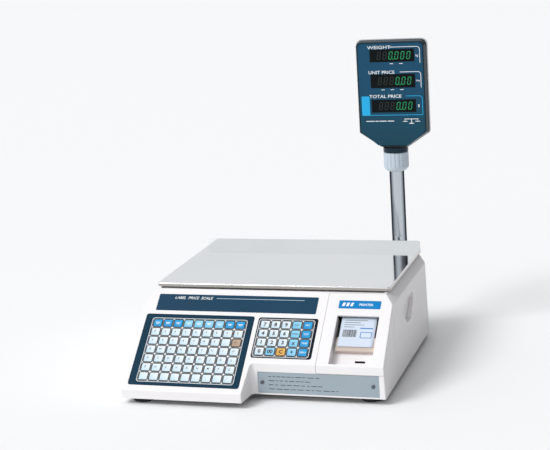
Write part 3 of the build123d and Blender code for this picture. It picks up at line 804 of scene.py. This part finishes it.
panelFrontLow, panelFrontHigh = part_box("head_panels")
poleLow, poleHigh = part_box("pole")
poleX = (poleLow.x + poleHigh.x) / 2
headFaces = {
    "front": planeMatrix((poleX, panelFrontLow.y, 0), (1, 0, 0), (0, 0, 1)),
    "rear": planeMatrix((poleX, panelFrontHigh.y, 0), (-1, 0, 0), (0, 0, 1)),
}
windowDepth = 0.3 * mm                     # the windows lie this far behind the panel
display = {
    "left": -38 * mm, "titleHeight": 5.2 * mm, "line": 0.9 * mm, "arc": 5 * mm,
    "titlePitch": 4.3 * mm, "titleWeight": 0.04 * mm,
    "digitHeight": 12 * mm, "digitWidth": 5.0 * mm, "digitPitch": 10.0 * mm, "slant": 0.16,
    "stroke": 1.0 * mm, "digitCut": 0.25 * mm, "pointCorner": 0.3 * mm,
    "rightDigit": 31.0 * mm, "digitCount": 6, "pointSize": 1.7 * mm,
    "block": (-51.4 * mm, -37.7 * mm), "blockRise": 0.3 * mm, "blockCorner": 1.5 * mm,
    "footRise": 0.4 * mm, "footOverlap": 0.5 * mm,
    # from here on in mm
    # title, its level and width, window level, lit digits, and the line's left end, right side and low end
    "rows": (
        ("WEIGHT", 489.7, 35.8, 475.7, "0.000", -0.2, 50.0, 462.6),
        ("UNIT PRICE", 448.2, 50.0, 433.5, "0.00", 15.5, 50.6, 422.0),
        ("TOTAL PRICE", 408.1, 58.0, 391.8, "0.00", 24.1, 51.6, 376.0),
    ),
    # unit, its place, height, width and weight
    "units": (("kg", 45.2, 475.2, 3.6, 0.92, 0.05), ("$/kg", 45.4, 433.5, 2.5, 1.0, 0.03),
              ("$", 45.4, 391.8, 4.4, 1.0, 0.08)),
    # small bars under the two upper windows: level and middles
    "notes": ((462.2, (2, 18)), (419.0, (-14, 2, 18))), "noteHalf": (3, 0.45),
    "smallPrint": ((-44.8, -31), (-29.5, -24), (-22.5, -10), (-8.5, 2.6)), "smallPrintBand": (365.8, 367.0),
    "smallCorner": 0.2,
}
# a plain balance, in mm: beam, post and foot as left, right, low, high, then the pans and their wires
balance = {
    "beam": (20, 44, 369.0, 370.0), "post": (31.4, 32.6, 362.5, 369.2), "foot": (28, 36, 361.5, 362.7),
    "pans": (21.5, 42.5), "panHalf": 4, "panBand": (365.0, 366.0), "panCorner": 0.4,
    "wireHalf": 0.3, "wireBand": (365.5, 369.4), "corner": 0.3,
}
segments = {"0": "abcdef", "8": "abcdefg"}


def digitSegments(stencil, u, v, which):
    # u and v are the digit's middle
    w, h, t = display["digitWidth"] / 2, display["digitHeight"] / 2, display["stroke"] / 2
    cut = display["digitCut"]

    def leaned(points):
        return [(u + a + display["slant"] * b, v + b) for a, b in points]

    def level(y):
        return leaned([(-w + cut, y), (-w + t + cut, y - t), (w - t - cut, y - t), (w - cut, y),
                       (w - t - cut, y + t), (-w + t + cut, y + t)])

    def upright(x, y0, y1):
        return leaned([(x, y0 + cut), (x + t, y0 + t + cut), (x + t, y1 - t - cut), (x, y1 - cut),
                       (x - t, y1 - t - cut), (x - t, y0 + t + cut)])

    shapes = {"a": level(h), "g": level(0), "d": level(-h), "b": upright(w, 0, h), "c": upright(w, -h, 0),
              "e": upright(-w, -h, 0), "f": upright(-w, 0, h)}
    for name in which:
        stencil.polygon(shapes[name])


def digitRow(lit, dim, level, text):
    shown = text.replace(".", "")
    for place in range(display["digitCount"]):
        u = display["rightDigit"] - place * display["digitPitch"]
        if place < len(shown):
            digitSegments(lit, u, level, segments["0"])
            digitSegments(dim, u, level, "g")
        else:
            digitSegments(dim, u, level, segments["8"])
    # the point stands midway between two digits, as far left as their feet lean
    foot = display["digitHeight"] / 2
    point = display["rightDigit"] - (len(text.split(".")[1]) - 0.5) * display["digitPitch"]
    point -= display["slant"] * foot
    half = display["pointSize"] / 2
    lit.bar(point - half, point + half, level - foot - half, level - foot + half, display["pointCorner"])


def bracketLine(stencil, start, right, top, bottom):
    arc, points = display["arc"], [(start, top)]
    for step in range(7):
        angle = math.radians(90 - 15 * step)
        points.append((right - arc + arc * math.cos(angle), top - arc + arc * math.sin(angle)))
    stencil.ribbon(points + [(right, bottom)], display["line"])


def barInMm(stencil, left, right, low, high, corner=0.0, steps=4):
    stencil.bar(left * mm, right * mm, low * mm, high * mm, corner * mm, steps)


def makeBalance(stencil, values):
    barInMm(stencil, *values["beam"], values["corner"])
    barInMm(stencil, *values["post"])
    barInMm(stencil, *values["foot"], values["corner"])
    for pan in values["pans"]:
        half, wire = values["panHalf"], values["wireHalf"]
        barInMm(stencil, pan - half, pan + half, *values["panBand"], values["panCorner"])
        barInMm(stencil, pan - wire, pan + wire, *values["wireBand"])


def makeSmallPrint(stencil):
    for text, u, v, height, width, weight in display["units"]:
        stencil.word(text, u * mm, v * mm, height * mm, width=width, weight=weight * mm)
    halfU, halfV = display["noteHalf"]
    for level, places in display["notes"]:
        for place in places:
            barInMm(stencil, place - halfU, place + halfU, level - halfV, level + halfV,
                    display["smallCorner"], 2)
    for start, end in display["smallPrint"]:
        barInMm(stencil, start, end, *display["smallPrintBand"], display["smallCorner"], 2)


def makeHeadFace(face, plane):
    white, cyan = Stencil("head_print_" + face), Stencil("head_cyan_" + face)
    lit, dim = Stencil("digits_lit_" + face), Stencil("digits_unlit_" + face)
    for title, titleLevel, titleWidth, level, text, lineStart, right, low in display["rows"]:
        titleLevel, level, right, low = titleLevel * mm, level * mm, right * mm, low * mm
        natural = len(title) * display["titlePitch"]
        white.word(title, display["left"], titleLevel, display["titleHeight"], "LEFT", 0,
                   titleWidth * mm / natural, display["titleWeight"])
        last = title.startswith("TOTAL")
        bracketLine(cyan if last else white, lineStart * mm, right, titleLevel, low)
        digitRow(lit, dim, level, text)
        if last:               # the cyan block beside the lowest window, and the line at its foot
            block, foot = display["block"], low + display["footRise"]
            cyan.bar(*block, low, titleLevel + display["blockRise"], display["blockCorner"])
            cyan.ribbon([(block[1] - display["footOverlap"], foot), (right, foot)], display["line"])
    makeSmallPrint(white)
    makeBalance(white, balance)
    white.make(plane, whiteInk, "head", "display_panel")
    cyan.make(plane, cyanInk, "head", "display_panel")
    lit.make(lifted(plane, -windowDepth), litDigits, "head", "display_window")
    dim.make(lifted(plane, -windowDepth), dimDigits, "head", "display_window")


for face, plane in headFaces.items():
    makeHeadFace(face, plane)
print("display faces made")


# floor and light

studio = {
    "floorSize": 60.0,                     # metres along each side
    "floorColour": (0.97, 0.97, 0.975),
    "sunEnergy": 1.75, "sunAngle": 28.0, "sunFrom": (-0.62, -0.62, 0.95),
    # the sky dims from bright to dim across x, and towards the horizon
    "skyBright": 0.76, "skyDim": 0.16, "skyAcross": 0.7,
    "horizonShare": 0.45, "horizonHeight": 0.2, "skyColour": (0.97, 0.985, 1.0),
}


def makeFloor(values):
    half = values["floorSize"] / 2
    shape = bpy.data.meshes.new("floor")
    corners = [(-half, -half, 0), (half, -half, 0), (half, half, 0), (-half, half, 0)]
    shape.from_pydata(corners, [], [(0, 1, 2, 3)])
    finish = Finish("floorPaper", values["floorColour"], 0.85)
    finish.feed("Roughness", 0.8 + 0.1 * finish.noise(30, 2))
    shape.materials.append(finish.material)
    floor = bpy.data.objects.new("floor", shape)
    bpy.context.scene.collection.objects.link(floor)


def makeSun(values):
    data = bpy.data.lights.new("keyLight", "SUN")
    data.energy, data.angle = values["sunEnergy"], math.radians(values["sunAngle"])
    sun = bpy.data.objects.new("keyLight", data)
    sun.rotation_euler = Vector(values["sunFrom"]).to_track_quat("Z", "Y").to_euler()
    bpy.context.scene.collection.objects.link(sun)


def makeSky(values):
    world = bpy.data.worlds.new("studio")
    bpy.context.scene.world = world
    world.use_nodes = True
    sky = NodeTree(world.node_tree, "Generated")
    x, _, z = sky.axes()

    def ramp(value, reach, start, end):
        return sky.node("ShaderNodeMapRange", {}, {"Value": value, "From Min": 0.0, "From Max": reach,
                                                   "To Min": start, "To Max": end})

    across = ramp(x, values["skyAcross"], values["skyBright"], values["skyDim"])
    rise = ramp(z, values["horizonHeight"], values["horizonShare"], 1.0)
    background = sky.tree.nodes["Background"]
    background.inputs["Color"].default_value = (*values["skyColour"], 1)
    sky.tree.links.new((across * rise).socket, background.inputs["Strength"])


makeFloor(studio)
makeSun(studio)
makeSky(studio)
bpy.context.scene.view_settings.view_transform = "Standard"
print("floor and lights made")
